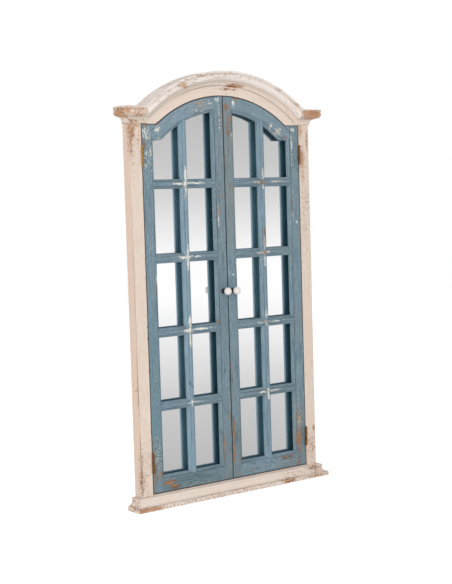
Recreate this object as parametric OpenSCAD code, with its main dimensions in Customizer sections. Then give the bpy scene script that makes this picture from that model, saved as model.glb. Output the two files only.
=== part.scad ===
// Wall mirror behind a pair of arched lattice doors, in a moulded wooden frame.
// Origin: midway between the two hanging holes, on the wall plane.
// X runs to the right, Y into the wall, Z up. The front faces -Y. Millimetres.

/* [Frame] */
// Clear width of the opening between the posts
opening_w = 515; // [460:5:600]
// Face width of each post
post_w = 35.5; // [32:0.5:50]
// Depth of the frame from the wall to its front face
frame_d = 29; // [27:0.5:40]
// Height of the doors' bottom edge over the underside of the frame
base_h = 38; // [37:1:60]
// Distance of the hanging holes below the doors' shoulder
hanger_drop = 43; // [38:1:70]

/* [Arch] */
// Width of each door's level shoulder, beside the arch
shoulder_w = 46.5; // [44:0.5:60]
// Rise of the doors' arch over the shoulders
arch_rise = 74.5; // [60:0.5:95]
// Radial width of header that shows between the doors and the crown
header_face = 26.2; // [20:0.1:32]
// Radial height of the crown moulding
crown_h = 35.5; // [34:0.5:36.5]
// Thickness of the crown where it caps the header
crown_cap_t = 8; // [6:0.5:11]

/* [Cornice and plinth] */
// Height of the cornice
cornice_h = 41; // [40:0.5:50]
// Projection of the cornice and of the crown
cornice_p = 26.5; // [26.5:0.5:34]
// Strip of header between the opening's shoulder and the cornice
cornice_lift = 1; // [0.5:0.5:6]
// Height of the plinth
plinth_h = 33; // [32:0.5:35]
// Projection of the plinth
plinth_p = 25; // [24:0.5:32]

/* [Doors] */
// Height of each door from its bottom edge to its shoulder
door_h = 930; // [915:5:1000]
// Thickness of the doors
door_t = 16; // [15:0.5:17]
// Gap between a door's hinged edge and the post
edge_gap = 1.5; // [1.4:0.1:1.9]
// Gap between the two doors
centre_gap = 2; // [1.8:0.1:4]
// Gap above and below the doors
end_gap = 2; // [1:0.1:3]
// Width of the hinge stile
hinge_stile_w = 36; // [30:0.5:44]
// Width of the meeting stile
meeting_stile_w = 34.3; // [30:0.1:44]
// Height of the bottom rail
bottom_rail_w = 42; // [34:0.5:60]
// Radial width of the arched rail
arch_rail_w = 39.7; // [34:0.1:46]
// Height of the rail at the door's shoulder
shoulder_rail_w = 38.5; // [34:0.5:46]
// Width of the upright glazing bar
muntin_w = 22.4; // [18:0.1:28]
// Width of the cross bars
bar_w = 24; // [18:0.5:28]
// Height of the openings between two cross bars
pane_h = 163.8; // [150:0.1:170]
// Radius of the rounded edges towards the openings
edge_r = 6.5; // [4:0.1:6.8]
// Step down from the front face to the rounded edges
quirk_d = 0.8; // [0.4:0.1:1.2]

/* [Mirror and back] */
// Thickness of the mirror glass
glass_t = 3; // [2:0.1:4]
// Thickness of the back panel
panel_t = 2; // [1.5:0.1:2.5]
// Thickness of the clips that hold the panel
clip_t = 1; // [0.8:0.1:1.5]
// Width of the rebate that the mirror lies in
rebate_w = 8; // [6:0.5:10]
// Clearance around the mirror and its panel
glass_clear = 1.5; // [1:0.1:2.5]
// Width of the door stops
stop_w = 12; // [10:0.5:16]
// Gap between the closed doors and their stops
stop_gap = 0.4; // [0.3:0.1:1]

/* [Hinges] */
// Length of the hinge barrel
hinge_l = 50; // [40:1:70]
// Distance of each hinge's middle from the door's bottom edge or shoulder
hinge_inset = 78; // [45:1:120]
// Diameter of the hinge barrel
barrel_d = 6; // [5:0.1:7]
// Diameter of the hinge pin
hinge_pin_d = 3; // [2:0.1:3.4]
// Radial clearance between the pin and the knuckles
pin_clear = 0.05; // [0.02:0.01:0.1]
// Thickness of the hinge leaves
leaf_t = 1; // [0.8:0.1:1.5]
// Gap between the two leaves of a closed hinge
leaf_gap = 0.4; // [0.3:0.1:0.8]
// Width of each leaf, from the barrel to its edge
leaf_w = 15; // [12:0.5:15.5]

/* [Knobs] */
// Diameter of the ball knobs
knob_d = 20; // [14:0.5:26]
// Distance of the ball's middle from the door's face
knob_reach = 19.3; // [15:0.1:26]
// Distance of the knobs from the centre line
knob_x = 14.7; // [14:0.1:24]
// Height of the knobs over the doors' bottom edge
knob_h = 499; // [450:1:560]
// Diameter of the ferrule between the knob and the door
stem_d = 11; // [8:0.5:13]
// Diameter of the ferrule's collar
collar_d = 14; // [11:0.5:16]
// Thickness of the collar
collar_t = 2.5; // [2:0.5:4]
// Diameter of the screw that holds the knob
knob_screw_d = 4; // [3:0.5:5]

/* [Fasteners and hangers] */
// Shank diameter of the small wood screws
screw_d = 2.6; // [2:0.1:3]
// Length of the small wood screws' shanks
screw_l = 10; // [8:0.5:12]
// Diameter of the hanger's round entry hole
entry_d = 9.5; // [8:0.1:11]
// Width of the hanger's slot
slot_w = 5; // [4:0.1:5.5]
// Length of the slot over the middle of the entry hole
slot_l = 11; // [9:0.5:13]
// Width of the hanger plate
hanger_w = 18; // [16:0.5:22]
// Thickness of the hanger plate
hanger_t = 1.5; // [1:0.1:2]
// Depth of the pocket for the wall screw's head
pocket_d = 12; // [9:0.5:15]
// Diameter of the catch magnets
magnet_d = 8; // [6:0.5:9]
// Diameter of the steel strikes on the doors
strike_d = 7.6; // [6:0.1:8.6]

/* [Hidden] */
$fn = 64;

// Colours as the photograph shows them
CREAM = [0.90, 0.85, 0.79];
BLUE = [0.46, 0.56, 0.62];
BRASS = [0.62, 0.50, 0.30];
STEEL = [0.70, 0.70, 0.70];
DARK_METAL = [0.20, 0.18, 0.16];

// Steps in a quarter turn of a moulding's rounds
STEPS = 4;
// What a cutter runs past the face that it opens
CUT = 1;

// Heights, from the hanging holes
shoulder_z = hanger_drop;
door_z = shoulder_z - door_h;
floor_z = door_z - base_h;
opening_bottom_z = door_z - end_gap;
opening_shoulder_z = shoulder_z + end_gap;
cornice_bottom_z = opening_shoulder_z + cornice_lift;
cornice_top_z = cornice_bottom_z + cornice_h;

// Half widths, from the centre line
opening_x = opening_w / 2;
frame_x = opening_x + post_w;
door_x0 = centre_gap / 2;
door_x1 = opening_x - edge_gap;
pane_x0 = door_x0 + meeting_stile_w;
pane_x1 = door_x1 - hinge_stile_w;
muntin_x = (pane_x0 + pane_x1) / 2;

// The arcs of the doors, header and crown share one centre
arch_half_w = door_x1 - shoulder_w;
door_arch_r = (arch_half_w * arch_half_w + arch_rise * arch_rise) / (2 * arch_rise);
arch_z = shoulder_z + arch_rise - door_arch_r;
opening_arch_r = door_arch_r + end_gap;
header_joint_r = opening_arch_r + header_face;
crown_r = header_joint_r + crown_h;
header_r = crown_r - crown_cap_t;

// Distances in front of the wall
rebate_d = glass_t + panel_t + clip_t;
door_back = frame_d - door_t;
stop_front = door_back - stop_gap;

// Hinge axis: midway across the door's gap, with the barrel just proud of the faces
barrel_proud = 0.2;
axis_x = opening_x - edge_gap / 2;
axis_y = -(frame_d + barrel_d / 2 + barrel_proud);
knuckles = 5;
knuckle_gap = 0.2;
knuckle_l = (hinge_l - (knuckles - 1) * knuckle_gap) / knuckles;
knuckle_pitch = knuckle_l + knuckle_gap;
leaf_start = barrel_d / 2 + 0.3;
hinge_z = [door_z + hinge_inset, shoulder_z - hinge_inset];
leaf_screw_pitch = hinge_l / 3;

// Screws: the head's cone is as deep as the plate that it sits in
head_ratio = 1.9;
// Back fixings: clips along the posts, at the crown and at the bottom, and hangers
clip_inset = 125;
clip_z = [door_z + clip_inset, (door_z + shoulder_z) / 2, shoulder_z - clip_inset];
clip_w = 14;
clip_l = 24;
clip_screw_in = 5.5;
hanger_x = opening_x + rebate_w + (post_w - rebate_w) / 2;
hanger_screw_gap = 5;
hanger_low_screw = -(entry_d / 2 + hanger_screw_gap + screw_d);
hanger_high_screw = slot_l + slot_w / 2 + hanger_screw_gap + screw_d;
hanger_end = 5.5;
catch_r = (opening_arch_r - stop_w + door_arch_r) / 2;
catch_x = door_x0 + meeting_stile_w / 2;
catch_z = arch_z + sqrt(catch_r * catch_r - catch_x * catch_x);
magnet_l = 4;
strike_t = 1;

// ---------- helpers ----------

// Points of an arc in steps, from angle a0 to angle a1
function arc(cx, cy, r, a0, a1, n = STEPS) =
    [for (i = [0:n]) let (a = a0 + (a1 - a0) * i / n) [cx + r * cos(a), cy + r * sin(a)]];

// Section of a door member as [across, forward]: square at 0, and at its width a small
// step down from the front face and then a round
function rounded_side(w) = concat([[0, door_back], [0, frame_d], [w - edge_r, frame_d]],
    arc(w - edge_r, frame_d - quirk_d - edge_r, edge_r, 90, 0),
    arc(w - edge_r, door_back + edge_r, edge_r, 0, -90));

// Section of a glazing bar as [across, forward], stepped and rounded on both sides
function rounded_bar(w) = concat([[w / 2 - edge_r, frame_d]],
    arc(w / 2 - edge_r, frame_d - quirk_d - edge_r, edge_r, 90, 0),
    arc(w / 2 - edge_r, door_back + edge_r, edge_r, 0, -90),
    arc(-w / 2 + edge_r, door_back + edge_r, edge_r, -90, -180),
    arc(-w / 2 + edge_r, frame_d - quirk_d - edge_r, edge_r, 180, 90),
    [[-w / 2 + edge_r, frame_d]]);

// Moulding of the cornice and crown as [projection, distance below the top]:
// a fillet, a bullnose, a cove and a thin foot
nose_r = 10.2;
nose_c = 13.6;
fillet_h = 6.2;
cove_r = 12.5;
foot_t = 3;
cove_top = nose_c + nose_r + 0.8;
nose_start = acos((nose_c - fillet_h - 0.8) / nose_r) - 90;
function cornice_section(h) = concat([[0, 0], [cornice_p, 0], [cornice_p, fillet_h]],
    arc(cornice_p - nose_r, nose_c, nose_r, nose_start, 90, 2 * STEPS),
    arc(foot_t + cove_r, cove_top + cove_r, cove_r, -90, -180, 2 * STEPS),
    [[foot_t, h], [0, h]]);

// Moulding of the plinth as [projection, height]: a band, a cove and a bead
band_h = 11;
band_r = 2;
quirk_h = 1.5;
plinth_cove_r = 11.5;
bead_r = 4;
bead_p = plinth_p - band_r - plinth_cove_r + 1;
plinth_section = concat([[0, 0]],
    arc(plinth_p - band_r, band_r, band_r, -90, 0),
    arc(plinth_p - band_r, band_h - band_r, band_r, 0, 90),
    arc(plinth_p - band_r, band_h + quirk_h + plinth_cove_r, plinth_cove_r, -90, -180,
        2 * STEPS),
    arc(bead_p - bead_r, plinth_h - bead_r, bead_r, 0, 90),
    [[0, plinth_h]]);

// The right-hand half is drawn; the left-hand half is its mirror image
module on_side(side) {
    mirror([side < 0 ? 1 : 0, 0, 0]) children();
}

// A flat shape in X and Z, between two distances in front of the wall
module upright_plate(front, back) {
    translate([0, -back, 0]) rotate([90, 0, 0]) linear_extrude(front - back) children();
}

// A section of [across, forward] points, standing upright between two heights
module upright(points, z0, z1) {
    translate([0, 0, z0]) linear_extrude(z1 - z0) polygon([for (q = points) [q[0], -q[1]]]);
}

// A section of [forward, height] points, lying along X
module lying(points, x0, x1) {
    translate([x0, 0, 0]) rotate([90, 0, 90]) linear_extrude(x1 - x0)
        polygon([for (q = points) [-q[0], q[1]]]);
}

// A section of [radius, forward] points, turned about the arch's axis
module arched(points) {
    translate([0, 0, arch_z]) rotate([90, 0, 0]) rotate_extrude($fn = 180) polygon(points);
}

// A round along Y, between two distances in front of the wall
module bar_y(x, z, d, front, back) {
    translate([x, -back, z]) rotate([90, 0, 0]) cylinder(d = d, h = front - back);
}

// A countersunk screw along +Z with its head's face at 0 and its shank below
module screw(head_h, shank_l) {
    translate([0, 0, -head_h]) cylinder(d1 = screw_d, d2 = screw_d * head_ratio, h = head_h);
    translate([0, 0, -head_h - shank_l]) cylinder(d = screw_d, h = shank_l);
}

// ---------- the frame ----------

// Where the hinge leaf screws stand along one hinge
module leaf_screws(side, direction) {
    for (z = hinge_z, k = [-1, 0, 1])
        on_side(side)
            translate([axis_x + direction * leaf_gap / 2, axis_y + leaf_start + leaf_w / 2,
                z + k * leaf_screw_pitch])
                rotate([0, -90 * direction, 0]) screw(leaf_t, screw_l);
}

// Recess for the leaves of one side: direction 1 is the post's, -1 the door's
module leaf_recess(side, direction) {
    for (z = hinge_z)
        on_side(side)
            translate([direction > 0 ? axis_x : axis_x - leaf_gap / 2 - leaf_t,
                axis_y + leaf_start - CUT, z - hinge_l / 2])
                cube([leaf_gap / 2 + leaf_t, leaf_w + CUT, hinge_l]);
}

// One leaf on the post's side (direction 1) or on the door's side (-1) of the barrel
module hinge_leaf(side, z, direction) {
    first = direction > 0 ? 0 : 1;
    near_x = direction > 0 ? axis_x + leaf_gap / 2 : axis_x - leaf_gap / 2 - leaf_t;
    on_side(side)
        difference() {
            union() {
                translate([near_x, axis_y + leaf_start, z - hinge_l / 2])
                    cube([leaf_t, leaf_w, hinge_l]);
                for (k = [first:2:knuckles - 1])
                    translate([0, 0, z - hinge_l / 2 + k * knuckle_pitch]) {
                        translate([axis_x, axis_y, 0]) cylinder(d = barrel_d, h = knuckle_l);
                        translate([near_x, axis_y + barrel_d / 3, 0])
                            cube([leaf_t, leaf_start, knuckle_l]);
                    }
            }
            translate([axis_x, axis_y, z - hinge_l / 2 - CUT])
                cylinder(d = hinge_pin_d + 2 * pin_clear, h = hinge_l + 2 * CUT);
            for (k = [-1, 0, 1])
                translate([axis_x + direction * leaf_gap / 2, axis_y + leaf_start + leaf_w / 2,
                    z + k * leaf_screw_pitch])
                    rotate([0, -90 * direction, 0]) screw(leaf_t, screw_l);
        }
}

module hinge_pins() {
    head_d = barrel_d * 0.8;
    head_h = 1.5;
    color(BRASS)
        for (side = [-1, 1], z = hinge_z)
            on_side(side) translate([axis_x, axis_y, z]) {
                cylinder(d = hinge_pin_d, h = hinge_l, center = true);
                for (end = [-1, 1])
                    translate([0, 0, end * (hinge_l + head_h) / 2])
                        cylinder(d = head_d, h = head_h, center = true);
            }
}

module frame_hinge_leaves(side) {
    color(BRASS) for (z = hinge_z) hinge_leaf(side, z, 1);
}

module frame_hinge_screws() {
    color(BRASS) for (side = [-1, 1]) leaf_screws(side, 1);
}

// Where the panel clips sit: along both posts, at the crown and at the bottom
module clip_places() {
    for (side = [-1, 1], z = clip_z)
        on_side(side) translate([opening_x + rebate_w, 0, z]) children();
    translate([0, 0, arch_z + opening_arch_r + rebate_w]) rotate([0, -90, 0]) children();
    translate([0, 0, opening_bottom_z - rebate_w]) rotate([0, 90, 0]) children();
}

module clip_screw_place() {
    translate([clip_screw_in, 0, 0]) rotate([-90, 0, 0]) children();
}

module panel_clips() {
    color(STEEL)
        clip_places()
            difference() {
                translate([-clip_l / 2, -clip_t, -clip_w / 2]) cube([clip_l, clip_t, clip_w]);
                clip_screw_place() screw(clip_t, screw_l);
            }
}

module panel_clip_screws() {
    color(STEEL) clip_places() clip_screw_place() screw(clip_t, screw_l);
}

// What the clips and their screws take out of the frame
module clip_cuts() {
    clip_places() {
        translate([-clip_l / 2, -clip_t, -clip_w / 2]) cube([clip_l, clip_t + CUT, clip_w]);
        clip_screw_place() screw(clip_t, screw_l);
    }
}

// Keyhole outline in X and Z: a round entry with a slot over it
module keyhole(entry, slot) {
    circle(d = entry);
    translate([-slot / 2, 0]) square([slot, slot_l]);
    translate([0, slot_l]) circle(d = slot);
}

module hanger_plate_shape(grow = 0) {
    translate([-hanger_w / 2 - grow, hanger_low_screw - hanger_end - grow])
        square([hanger_w + 2 * grow,
            hanger_high_screw - hanger_low_screw + 2 * (hanger_end + grow)]);
}

module hanger_screw_places() {
    for (z = [hanger_low_screw, hanger_high_screw])
        translate([0, 0, z]) rotate([-90, 0, 0]) children();
}

module hanger_plates() {
    color(STEEL)
        for (side = [-1, 1])
            on_side(side) translate([hanger_x, 0, 0])
                difference() {
                    upright_plate(hanger_t, 0) hanger_plate_shape();
                    upright_plate(hanger_t + CUT, -CUT) keyhole(entry_d, slot_w);
                    hanger_screw_places() screw(hanger_t, screw_l);
                }
}

module hanger_screws() {
    color(STEEL)
        for (side = [-1, 1])
            on_side(side) translate([hanger_x, 0, 0])
                hanger_screw_places() screw(hanger_t, screw_l);
}

module post(side) {
    pocket_grow = 2.5;
    color(CREAM)
        difference() {
            on_side(side) translate([opening_x, -frame_d, floor_z])
                cube([post_w, frame_d, cornice_top_z - floor_z]);
            upright_plate(frame_d + CUT, -CUT) crown_seat();
            // rebate for the mirror
            on_side(side) translate([opening_x - CUT, -rebate_d, opening_bottom_z - rebate_w])
                cube([rebate_w + CUT, rebate_d + CUT,
                    opening_shoulder_z - opening_bottom_z + 2 * rebate_w]);
            leaf_recess(side, 1);
            leaf_screws(side, 1);
            clip_cuts();
            on_side(side) translate([hanger_x, 0, 0]) {
                upright_plate(hanger_t, -CUT) hanger_plate_shape();
                upright_plate(pocket_d, 0)
                    keyhole(entry_d + pocket_grow, slot_w + 2 * pocket_grow);
                hanger_screw_places() screw(hanger_t, screw_l);
            }
        }
}

// The arched opening in X and Z, grown outward by a margin
module opening_shape(grow = 0) {
    intersection() {
        translate([0, arch_z]) circle(r = opening_arch_r + grow, $fn = 180);
        translate([-opening_x, opening_shoulder_z + grow - CUT])
            square([opening_w, opening_arch_r]);
    }
    translate([-opening_x - grow, opening_bottom_z - grow])
        square([opening_w + 2 * grow, opening_shoulder_z - opening_bottom_z + 2 * grow]);
}

module arch_header() {
    color(CREAM)
        difference() {
            upright_plate(frame_d, 0)
                difference() {
                    translate([-opening_x, opening_shoulder_z])
                        square([opening_w, arch_z + crown_r - opening_shoulder_z]);
                    // above the cornices' top, outside the arc
                    difference() {
                        translate([-opening_x - CUT, cornice_top_z])
                            square([opening_w + 2 * CUT, crown_r]);
                        translate([0, arch_z]) circle(r = header_r, $fn = 180);
                    }
                    crown_seat();
                }
            upright_plate(frame_d + CUT, -CUT) opening_shape();
            upright_plate(rebate_d, -CUT) opening_shape(rebate_w);
            clip_cuts();
        }
}

module frame_bottom_rail() {
    color(CREAM)
        difference() {
            translate([-opening_x, -frame_d, floor_z])
                cube([opening_w, frame_d, opening_bottom_z - floor_z]);
            upright_plate(rebate_d, -CUT) opening_shape(rebate_w);
            clip_cuts();
        }
}

// The mitre between the crown and the cornices: equal distances below both tops
function mitre_x(below) =
    sqrt(pow(crown_r - below, 2) - pow(cornice_top_z - below - arch_z, 2));
mitre_lean = (mitre_x(0) - mitre_x(cornice_h)) / cornice_h;
module crown_side_of_mitre() {
    low_z = cornice_bottom_z - CUT;
    high_z = arch_z + crown_r + CUT;
    low_x = mitre_x(0) - mitre_lean * (cornice_top_z - low_z);
    high_x = mitre_x(0) + mitre_lean * (high_z - cornice_top_z);
    polygon([[-low_x, low_z], [low_x, low_z], [high_x, high_z], [-high_x, high_z]]);
}

// What the crown's cap takes out of the header and of the posts' tops, in X and Z
module crown_seat() {
    difference() {
        crown_side_of_mitre();
        translate([0, arch_z]) circle(r = header_r, $fn = 180);
    }
}

// The moulding with its cap in one section of [radius, forward] points
module crown_arch() {
    section = concat([[header_r, 0], [crown_r, 0]],
        [for (q = cornice_section(cornice_h)) if (q[0] > 0) [crown_r - q[1], frame_d + q[0]]],
        [[crown_r - cornice_h, frame_d], [header_r, frame_d]]);
    color(CREAM)
        difference() {
            intersection() {
                arched(section);
                upright_plate(frame_d + cornice_p + CUT, -CUT) crown_side_of_mitre();
            }
            upright_plate(frame_d + cornice_p, frame_d - CUT)
                translate([0, arch_z]) circle(r = header_joint_r, $fn = 180);
        }
}

// The side of the 45 degree corner mitre that a front moulding lies on
module front_of_corner(p, x0, z0, z1) {
    translate([0, 0, z0]) linear_extrude(z1 - z0)
        polygon([[x0, -frame_d], [frame_x, -frame_d], [frame_x + p, -frame_d - p],
            [x0, -frame_d - p]]);
}

// The other side of that mitre, back to the wall
module return_of_corner(p, z0, z1) {
    translate([0, 0, z0]) linear_extrude(z1 - z0)
        polygon([[frame_x, 0], [frame_x, -frame_d], [frame_x + p, -frame_d - p],
            [frame_x + p, 0]]);
}

module cornice(side) {
    x0 = mitre_x(cornice_h) - mitre_lean * CUT;
    section = [for (q = cornice_section(cornice_h)) [frame_d + q[0], cornice_top_z - q[1]]];
    color(CREAM)
        on_side(side)
            difference() {
                intersection() {
                    lying(section, x0, frame_x + cornice_p);
                    front_of_corner(cornice_p, x0, cornice_bottom_z, cornice_top_z);
                }
                upright_plate(frame_d + cornice_p + CUT, frame_d - CUT) crown_side_of_mitre();
            }
}

module cornice_return(side) {
    section = [for (q = cornice_section(cornice_h)) [frame_x + q[0], cornice_top_z - q[1]]];
    color(CREAM)
        on_side(side)
            intersection() {
                upright_plate(frame_d + cornice_p, 0) polygon(section);
                return_of_corner(cornice_p, cornice_bottom_z, cornice_top_z);
            }
}

module plinth_front() {
    section = [for (q = plinth_section) [frame_d + q[0], floor_z + q[1]]];
    color(CREAM)
        intersection() {
            lying(section, -frame_x - plinth_p, frame_x + plinth_p);
            for (side = [-1, 1])
                on_side(side) front_of_corner(plinth_p, 0, floor_z, floor_z + plinth_h);
        }
}

module plinth_return(side) {
    section = [for (q = plinth_section) [frame_x + q[0], floor_z + q[1]]];
    color(CREAM)
        on_side(side)
            intersection() {
                upright_plate(frame_d + plinth_p, 0) polygon(section);
                return_of_corner(plinth_p, floor_z, floor_z + plinth_h);
            }
}

module mirror_glass() {
    color([0.85, 0.87, 0.88])
        upright_plate(rebate_d, rebate_d - glass_t) opening_shape(rebate_w - glass_clear);
}

module back_panel() {
    color([0.55, 0.42, 0.30])
        upright_plate(rebate_d - glass_t, clip_t) opening_shape(rebate_w - glass_clear);
}

module stop_upright(side) {
    color(CREAM)
        on_side(side)
            translate([opening_x - stop_w, -stop_front, opening_bottom_z])
                cube([stop_w, stop_front - rebate_d,
                    opening_shoulder_z - stop_w - opening_bottom_z]);
}

module stop_bottom() {
    color(CREAM)
        translate([-opening_x + stop_w, -stop_front, opening_bottom_z])
            cube([opening_w - 2 * stop_w, stop_front - rebate_d, stop_w]);
}

module stop_arch() {
    color(CREAM)
        difference() {
            upright_plate(stop_front, rebate_d)
                intersection() {
                    opening_shape();
                    translate([-opening_x, opening_shoulder_z - stop_w])
                        square([opening_w, opening_arch_r]);
                }
            upright_plate(stop_front + CUT, rebate_d - CUT)
                translate([0, arch_z]) circle(r = opening_arch_r - stop_w, $fn = 180);
            catch_rounds(magnet_d, stop_front, stop_front - magnet_l);
        }
}

// A round on each side where the magnets meet the strikes
module catch_rounds(d, front, back) {
    for (side = [-1, 1]) on_side(side) bar_y(catch_x, catch_z, d, front, back);
}

module catch_magnets() {
    color(DARK_METAL) catch_rounds(magnet_d, stop_front, stop_front - magnet_l);
}

// ---------- the doors ----------

module hinge_stile_solid() {
    upright([for (q = rounded_side(hinge_stile_w)) [door_x1 - q[0], q[1]]], door_z, shoulder_z);
}

module meeting_stile_solid() {
    intersection() {
        upright([for (q = rounded_side(meeting_stile_w)) [door_x0 + q[0], q[1]]],
            door_z, arch_z + door_arch_r);
        upright_plate(frame_d + CUT, 0) {
            translate([0, arch_z]) circle(r = door_arch_r, $fn = 180);
            translate([0, door_z - CUT]) square([opening_x, arch_z - door_z + CUT]);
        }
    }
}

module hinge_stile(side) {
    color(BLUE)
        difference() {
            on_side(side) hinge_stile_solid();
            leaf_recess(side, -1);
            leaf_screws(side, -1);
        }
}

module meeting_stile(side) {
    color(BLUE)
        on_side(side)
            difference() {
                meeting_stile_solid();
                bar_y(knob_x, door_z + knob_h, knob_screw_d, frame_d + CUT, door_back - CUT);
                bar_y(catch_x, catch_z, strike_d, door_back + strike_t, door_back - CUT);
            }
}

module bottom_rail_solid() {
    difference() {
        lying([for (q = rounded_side(bottom_rail_w)) [q[1], door_z + q[0]]],
            pane_x0 - edge_r, pane_x1 + edge_r);
        meeting_stile_solid();
        hinge_stile_solid();
    }
}

module bottom_rail(side) {
    color(BLUE) on_side(side) bottom_rail_solid();
}

// The arched rail: above the shoulder rail's edge, outside the panes' arc and
// inside the door's outline
module arch_rail_solid() {
    pane_r = door_arch_r - arch_rail_w;
    ring_w = arch_rail_w + 2 * post_w;
    low_z = shoulder_z - shoulder_rail_w;
    difference() {
        intersection() {
            lying([for (q = rounded_side(arch_rise + shoulder_rail_w + CUT))
                [q[1], low_z + arch_rise + shoulder_rail_w + CUT - q[0]]],
                pane_x0 - edge_r, pane_x1 + edge_r);
            arched([for (q = rounded_side(ring_w)) [pane_r + ring_w - q[0], q[1]]]);
            upright_plate(frame_d + CUT, 0) {
                translate([0, arch_z]) circle(r = door_arch_r, $fn = 180);
                translate([0, low_z - CUT]) square([opening_x, shoulder_z - low_z + CUT]);
            }
        }
        meeting_stile_solid();
        hinge_stile_solid();
    }
}

module arch_rail(side) {
    color(BLUE) on_side(side) arch_rail_solid();
}

module muntin_solid() {
    face_r = door_arch_r - arch_rail_w + edge_r;
    difference() {
        intersection() {
            upright([for (q = rounded_bar(muntin_w)) [muntin_x + q[0], q[1]]],
                door_z + bottom_rail_w - edge_r, arch_z + face_r);
            upright_plate(frame_d + CUT, 0) {
                translate([0, arch_z]) circle(r = face_r, $fn = 180);
                translate([0, door_z]) square([opening_x, arch_z - door_z]);
            }
        }
        bottom_rail_solid();
        arch_rail_solid();
    }
}

module muntin(side) {
    color(BLUE) on_side(side) muntin_solid();
}

// Cross bars are counted from the bottom; each is two short bars coped to the uprights
module cross_bar(side, number) {
    middle_z = door_z + bottom_rail_w + number * pane_h + (number - 0.5) * bar_w;
    color(BLUE)
        on_side(side)
            difference() {
                lying([for (q = rounded_bar(bar_w)) [q[1], middle_z + q[0]]],
                    pane_x0 - edge_r, pane_x1 + edge_r);
                meeting_stile_solid();
                hinge_stile_solid();
                upright([for (q = rounded_bar(muntin_w)) [muntin_x + q[0], q[1]]],
                    middle_z - bar_w, middle_z + bar_w);
            }
}

module door_hinge_leaf(side, which) {
    color(BRASS) hinge_leaf(side, hinge_z[which], -1);
}

module door_hinge_screws(side) {
    color(BRASS) leaf_screws(side, -1);
}

// The ferrule reaches the flat where the ball is cut off
stem_l = knob_reach - sqrt(knob_d * knob_d - stem_d * stem_d) / 2;
knob_screw_reach = knob_reach + 2;

module knob_hole(d, front) {
    bar_y(knob_x, door_z + knob_h, d, front, door_back - CUT);
}

module knob(side) {
    ball = concat([[0, stem_l - knob_reach]],
        arc(0, 0, knob_d / 2, -acos(stem_d / knob_d), 90, 4 * STEPS));
    color([0.93, 0.91, 0.87])
        on_side(side)
            difference() {
                translate([knob_x, -frame_d - knob_reach, door_z + knob_h])
                    rotate([90, 0, 0]) rotate_extrude() polygon(ball);
                knob_hole(knob_screw_d, frame_d + knob_screw_reach);
            }
}

module knob_stem(side) {
    color(DARK_METAL)
        on_side(side)
            difference() {
                union() {
                    bar_y(knob_x, door_z + knob_h, collar_d, frame_d + collar_t, frame_d);
                    bar_y(knob_x, door_z + knob_h, stem_d, frame_d + stem_l, frame_d);
                }
                knob_hole(knob_screw_d, frame_d + stem_l + CUT);
            }
}

module knob_screw(side) {
    head_h = 2;
    color(STEEL)
        on_side(side) {
            bar_y(knob_x, door_z + knob_h, knob_screw_d, frame_d + knob_screw_reach, door_back);
            bar_y(knob_x, door_z + knob_h, 2 * knob_screw_d, door_back, door_back - head_h);
        }
}

module strike(side) {
    color(STEEL)
        on_side(side) bar_y(catch_x, catch_z, strike_d, door_back + strike_t, door_back);
}

// ---------- the nodes ----------

post(-1);  // post_left
post(1);  // post_right
arch_header();
frame_bottom_rail();
plinth_front();
plinth_return(-1);  // plinth_return_left
plinth_return(1);  // plinth_return_right
crown_arch();
cornice(-1);  // cornice_left
cornice(1);  // cornice_right
cornice_return(-1);  // cornice_return_left
cornice_return(1);  // cornice_return_right
mirror_glass();
back_panel();
stop_upright(-1);  // stop_left
stop_upright(1);  // stop_right
stop_arch();
stop_bottom();
panel_clips();
panel_clip_screws();
hanger_plates();
hanger_screws();
frame_hinge_leaves(-1);  // left_frame_hinge_leaves
frame_hinge_leaves(1);  // right_frame_hinge_leaves
hinge_pins();
frame_hinge_screws();
catch_magnets();

hinge_stile(-1);  // left_hinge_stile
meeting_stile(-1);  // left_meeting_stile
bottom_rail(-1);  // left_bottom_rail
arch_rail(-1);  // left_arch_rail
muntin(-1);  // left_muntin
cross_bar(-1, 1);  // left_cross_bar_1
cross_bar(-1, 2);  // left_cross_bar_2
cross_bar(-1, 3);  // left_cross_bar_3
cross_bar(-1, 4);  // left_cross_bar_4
door_hinge_leaf(-1, 0);  // left_lower_hinge_leaf
door_hinge_leaf(-1, 1);  // left_upper_hinge_leaf
door_hinge_screws(-1);  // left_hinge_screws
knob(-1);  // left_knob
knob_stem(-1);  // left_knob_stem
knob_screw(-1);  // left_knob_screw
strike(-1);  // left_strike

hinge_stile(1);  // right_hinge_stile
meeting_stile(1);  // right_meeting_stile
bottom_rail(1);  // right_bottom_rail
arch_rail(1);  // right_arch_rail
muntin(1);  // right_muntin
cross_bar(1, 1);  // right_cross_bar_1
cross_bar(1, 2);  // right_cross_bar_2
cross_bar(1, 3);  // right_cross_bar_3
cross_bar(1, 4);  // right_cross_bar_4
door_hinge_leaf(1, 0);  // right_lower_hinge_leaf
door_hinge_leaf(1, 1);  // right_upper_hinge_leaf
door_hinge_screws(1);  // right_hinge_screws
knob(1);  // right_knob
knob_stem(1);  // right_knob_stem
knob_screw(1);  // right_knob_screw
strike(1);  // right_strike
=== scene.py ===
# %% [markdown]
# # A mirror behind a pair of arched lattice doors
#
# The wooden frame is painted cream and the doors grey-blue. Both coats are rubbed and
# chipped, so that undercoat and bare wood show. The shapes come packed from CAD with
# their bodies; this file gives them softened edges, finishes, light and a camera.
# Lengths are metres, except in the tables of worn places, which say so. X runs to the
# right, Y into the wall and Z up, and the origin lies on the wall, midway between the
# two hanging holes.

# %% Load the frame
from functools import partial
from math import cos, pi, radians, sin

import bmesh
import bpy
from mathutils import Matrix, Vector


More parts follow.
